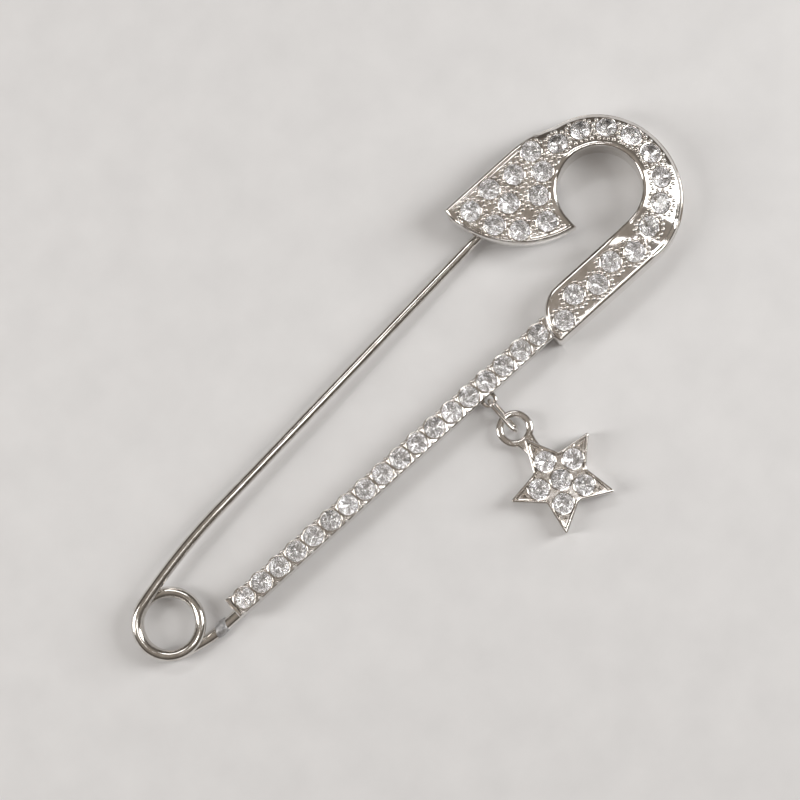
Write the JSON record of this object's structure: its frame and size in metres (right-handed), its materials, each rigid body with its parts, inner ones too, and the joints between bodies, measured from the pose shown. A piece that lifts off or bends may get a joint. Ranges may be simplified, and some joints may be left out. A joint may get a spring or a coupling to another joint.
{
  "type": "kilt pin brooch",
  "caption": "Safety-pin brooch with a crystal-set head and bar, a sprung pin that opens beside the bar, and a hanging star charm.",
  "frame": {"origin": "middle of the stone bar's back face", "axes": "+X along the bar from the coil to the head, +Y from the bar towards the pin, +Z out of the crystal-set face"},
  "size_m": [0.0694, 0.0308, 0.0044],
  "materials": {
    "casting": "polished rhodium plate",
    "spring_wire": "bright drawn wire, plated",
    "solder": "dull grey solder",
    "crystal": "clear foil-backed crystal"
  },
  "bodies": {
    "frame": {"head_casting": "casting", "bar_casting": "casting", "catch": "casting", "charm_eye": "casting", "wire_leg": "spring_wire", "spring_coil": "spring_wire", "solder_joint": "solder", "head_crystal_01": "crystal", "head_crystal_02": "crystal", "head_crystal_03": "crystal", "head_crystal_04": "crystal", "head_crystal_05": "crystal", "head_crystal_06": "crystal", "head_crystal_07": "crystal", "head_crystal_08": "crystal", "head_crystal_09": "crystal", "head_crystal_10": "crystal", "head_crystal_11": "crystal", "head_crystal_12": "crystal", "head_crystal_13": "crystal", "head_crystal_14": "crystal", "head_crystal_15": "crystal", "head_crystal_16": "crystal", "head_crystal_17": "crystal", "head_crystal_18": "crystal", "head_crystal_19": "crystal", "head_crystal_20": "crystal", "head_crystal_21": "crystal", "head_crystal_22": "crystal", "head_crystal_23": "crystal", "bar_crystal_01": "crystal", "bar_crystal_02": "crystal", "bar_crystal_03": "crystal", "bar_crystal_04": "crystal", "bar_crystal_05": "crystal", "bar_crystal_06": "crystal", "bar_crystal_07": "crystal", "bar_crystal_08": "crystal", "bar_crystal_09": "crystal", "bar_crystal_10": "crystal", "bar_crystal_11": "crystal", "bar_crystal_12": "crystal", "bar_crystal_13": "crystal", "bar_crystal_14": "crystal", "bar_crystal_15": "crystal", "bar_crystal_16": "crystal", "bar_crystal_17": "crystal", "bar_crystal_18": "crystal"},
    "swing": {"coil_top_turn": "spring_wire"},
    "pin": {"pin_stem": "spring_wire"},
    "link": {"charm_link": "casting"},
    "star": {"star_casting": "casting", "star_crystal_01": "crystal", "star_crystal_02": "crystal", "star_crystal_03": "crystal", "star_crystal_04": "crystal", "star_crystal_05": "crystal", "star_crystal_06": "crystal"}
  },
  "joints": [
    {"name": "pin_swing", "type": "hinge", "parent": "frame", "child": "swing", "pos_m": [-0.02601, 0.0031, 0.0011], "axis": [0, 0, 1], "range_deg": [0, 28], "deforming": ["spring_coil"]},
    {"name": "pin_latch", "type": "hinge", "parent": "swing", "child": "pin", "pos_m": [-0.0268, 0.00606, 0.00217], "axis": [0.1034, -0.9946, 0], "range_deg": [0, 1.15]},
    {"name": "link_tip", "type": "hinge", "parent": "frame", "child": "link", "pos_m": [0.0112, -0.00197, 0.00115], "axis": [-1, 0, 0], "range_deg": [0, 60]},
    {"name": "star_swing", "type": "hinge", "parent": "link", "child": "star", "pos_m": [0.0112, -0.00507, 0.00104], "axis": [0, 0, 1], "range_deg": [-45, 45]}
  ]
}
